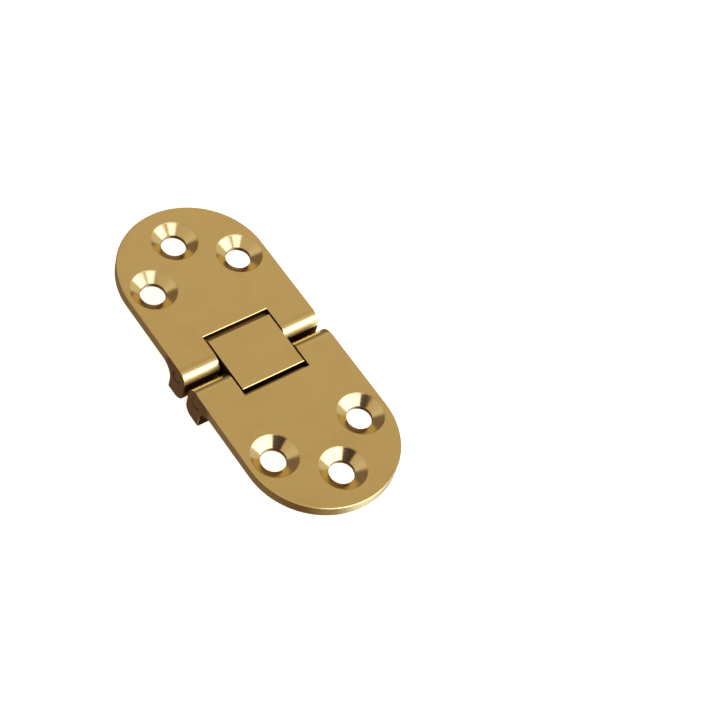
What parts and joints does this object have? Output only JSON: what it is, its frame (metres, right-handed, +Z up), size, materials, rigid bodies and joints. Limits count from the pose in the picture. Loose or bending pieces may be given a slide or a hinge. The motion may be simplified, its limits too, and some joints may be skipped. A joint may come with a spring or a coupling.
{
  "type": "folding flap hinge",
  "caption": "Flush brass hinge for a folding flap or table top: round-ended countersunk leaves with knuckles underneath, turning on pins in a centre link.",
  "frame": {"origin": "middle of the footprint, on the plane of the knuckles' flat bottoms", "axes": "+X along the open hinge from leaf_a to leaf_b, +Y along the pins, +Z up out of the flush top faces"},
  "size_m": [0.072, 0.03, 0.0078],
  "materials": {
    "leaf_brass": "satin brushed solid brass with polished edges",
    "link_brass": "satin brushed solid brass",
    "pin_brass": "drawn brass rod, faced ends"
  },
  "bodies": {
    "link": {"centre_link": "link_brass"},
    "leaf_a": {"leaf_a": "leaf_brass", "pin_a": "pin_brass"},
    "leaf_b": {"leaf_b": "leaf_brass", "pin_b": "pin_brass"}
  },
  "joints": [
    {"name": "leaf_a_fold", "type": "hinge", "parent": "link", "child": "leaf_a", "pos_m": [-0.0033, 0, 0.00515], "axis": [0, 1, 0], "range_deg": [0, 90]},
    {"name": "leaf_b_fold", "type": "hinge", "parent": "link", "child": "leaf_b", "pos_m": [0.0033, 0, 0.00515], "axis": [0, -1, 0], "range_deg": [0, 90]}
  ]
}
